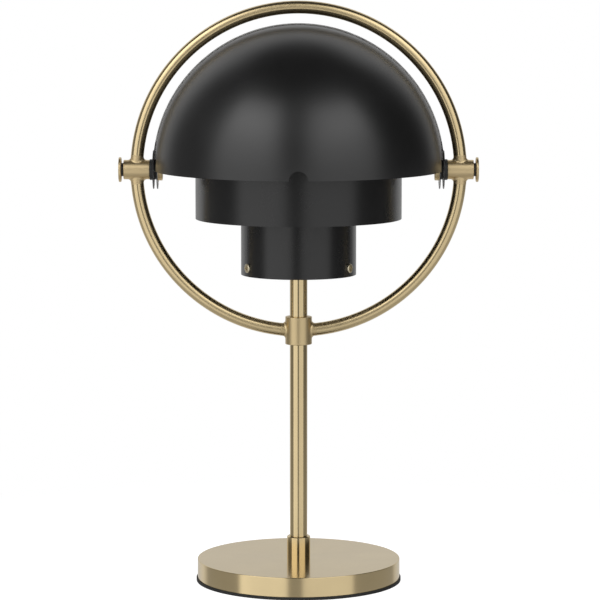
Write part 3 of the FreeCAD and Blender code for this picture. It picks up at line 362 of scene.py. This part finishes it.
bent_brass = brass_finish("bent_brass", (260, 260, 260), BRASS, 0.26, 0.02, 0.7, round_the_ring)
dress(bent_brass, "ring_upper_arc", "ring_lower_left", "ring_lower_right")
turned_collar = brass_finish("turned_collar", (30, 30, 3000), (0.64, 0.505, 0.285), 0.40, 0.04, 0.25,
                             across_the_turning)
dress(turned_collar, "ring_collar")
black_steel = moulded("black_steel", (0.02, 0.02, 0.02), (0.035, 0.035, 0.035), 0.35)
dress(black_steel, "ring_collar_screw")

# ---------------------------------------------------------------------------------------------
# Pivots: turned brass barrels brazed into the ring, with disc-headed screws and round nuts. Black
# nylon washers under the heads and beside the ears keep the shades where they are put.
# ---------------------------------------------------------------------------------------------
def along_the_pivots(tree, place):
    """Direction of the pivots, for pieces turned about them."""
    return add(tree, "CombineXYZ", X=1.0).outputs[0]


turned_brass = brass_finish("turned_brass", (3000, 30, 30), (0.73, 0.575, 0.33), 0.42, 0.03, 0.5,
                            along_the_pivots)
for side in ("left", "right"):
    dress(turned_brass, "pivot_barrel_" + side, "pivot_screw_" + side, "pivot_nut_" + side)
    dress(black_nylon, "head_washer_" + side, "ear_washer_" + side, "ear_spacer_" + side)

# ---------------------------------------------------------------------------------------------
# Shades: quarter spheres spun from sheet metal, sprayed satin black outside and satin white inside.
# Their round ears turn on the pivot screws, the front shade's inside the rear shade's.
# ---------------------------------------------------------------------------------------------
EAR_REACH = 0.024


def two_sided_paint(name, round_the_stem, rough, gloss):
    """Black outside and white inside, told apart by whether the surface faces away from the middle."""
    finish, tree, surface, place = new_finish(name)
    from_middle = add(tree, "VectorMath", operation="SUBTRACT")
    link(tree, place, from_middle.inputs[0])
    from_middle.inputs[1].default_value = (0, 0, PIVOT_HEIGHT)
    flat = add(tree, "VectorMath", operation="MULTIPLY")
    link(tree, from_middle.outputs[0], flat.inputs[0])
    flat.inputs[1].default_value = (1, 1, 0) if round_the_stem else (1, 1, 1)
    outward = add(tree, "VectorMath", operation="NORMALIZE")
    link(tree, flat.outputs[0], outward.inputs[0])
    facing = add(tree, "VectorMath", operation="DOT_PRODUCT")
    link(tree, outward.outputs[0], facing.inputs[0])
    link(tree, place.node.outputs["Normal"], facing.inputs[1])
    inside = math_node(tree, "LESS_THAN", facing.outputs["Value"], -0.5)
    outside = math_node(tree, "GREATER_THAN", facing.outputs["Value"], 0.5)
    peel = stretched_noise(tree, place, (700, 700, 700), 2.0)
    haze = stretched_noise(tree, place, (24, 24, 24), 3.0)
    black = between(tree, haze, (0.0034, 0.0034, 0.0035), (0.0046, 0.0046, 0.0048))
    chalk = between(tree, haze, (0.80, 0.79, 0.77), (0.84, 0.835, 0.82))
    # the cut edge gets a painted highlight, a mottled pale grey that stands in for the bright line along
    # the edge, but the ears stay black
    off_pivot = add(tree, "VectorMath", operation="MULTIPLY")
    link(tree, from_middle.outputs[0], off_pivot.inputs[0])
    off_pivot.inputs[1].default_value = (0, 1, 1)
    reach = add(tree, "VectorMath", operation="LENGTH")
    link(tree, off_pivot.outputs[0], reach.inputs[0])
    on_ear = math_node(tree, "LESS_THAN", reach.outputs["Value"], EAR_REACH)
    outside = math_node(tree, "MAXIMUM", outside, on_ear)
    outside = math_node(tree, "SUBTRACT", outside, inside, clamp=True)
    # painted highlight: pale grey on the cut faces, mottled by noise, for the light line along the shade's
    # edge
    edge_highlight_mottle = stretched_noise(tree, place, (130, 130, 130), 4.0)
    edge_highlight_paint = between(tree, edge_highlight_mottle, (0.22, 0.218, 0.215), (0.40, 0.395, 0.39))
    colour = add(tree, "Mix", data_type="RGBA")
    link(tree, inside, colour.inputs[0])
    link(tree, edge_highlight_paint, colour.inputs[6])
    link(tree, chalk, colour.inputs[7])
    coated = add(tree, "Mix", data_type="RGBA")
    link(tree, outside, coated.inputs[0])
    link(tree, colour.outputs[2], coated.inputs[6])
    link(tree, black, coated.inputs[7])
    link(tree, coated.outputs[2], surface.inputs["Base Color"])
    link(tree, between(tree, haze, rough - 0.02, rough + 0.02), surface.inputs["Roughness"])
    surface.inputs["Specular IOR Level"].default_value = gloss
    set_bump(tree, surface, peel, 0.06, 0.00004)
    return finish


shade_paint = two_sided_paint("shade_paint", False, 0.33, 0.75)
dress(shade_paint, "front_shade", "rear_shade")

# ---------------------------------------------------------------------------------------------
# Cylinders: rolled from sheet and sprayed as the shades are. Posts with pale brass screws hold them
# apart, and three more screws fix the inner one to the bracket on the stem.
# ---------------------------------------------------------------------------------------------
cylinder_paint = two_sided_paint("cylinder_paint", True, 0.28, 0.62)
dress(cylinder_paint, "narrow_cylinder", "wide_cylinder")
pale_brass = brass_finish("pale_brass", (2500, 2500, 2500), (0.74, 0.66, 0.48), 0.25, 0.1)
dress(pale_brass, "post_outer_screws", "post_inner_screws", "bracket_screws")

# ---------------------------------------------------------------------------------------------
# Lamp holder and bulb: a white moulded holder on the stem's upper nipple, with a stamped brass
# thread, and a frosted globe with a rolled aluminium cap screwed into it.
# ---------------------------------------------------------------------------------------------
ivory = moulded("ivory_plastic", (0.70, 0.69, 0.65), (0.78, 0.77, 0.73), 0.3)
dress(ivory, "holder_body")
stamped_brass = brass_finish("stamped_brass", (900, 900, 900), (0.62, 0.52, 0.33), 0.3, 0.1)
dress(stamped_brass, "holder_thread", "holder_contact")
rolled, tree, surface, place = new_finish("rolled_aluminium")
surface.inputs["Metallic"].default_value = 1.0
roll = stretched_noise(tree, place, (200, 200, 3000), 3.0)
link(tree, between(tree, roll, (0.66, 0.66, 0.67), (0.76, 0.76, 0.77)), surface.inputs["Base Color"])
link(tree, between(tree, roll, 0.22, 0.34), surface.inputs["Roughness"])
set_bump(tree, surface, roll, 0.2, 0.00005)
dress(rolled, "bulb_cap")
frost, tree, surface, place = new_finish("frosted_glass")
surface.inputs["Transmission Weight"].default_value = 0.55
surface.inputs["IOR"].default_value = 1.5
frosting = stretched_noise(tree, place, (3500, 3500, 3500), 2.0)
link(tree, between(tree, frosting, (0.90, 0.89, 0.86), (0.95, 0.945, 0.93)), surface.inputs["Base Color"])
link(tree, between(tree, frosting, 0.34, 0.46), surface.inputs["Roughness"])
set_bump(tree, surface, frosting, 0.2, 0.00003)
dress(frost, "bulb_glass")
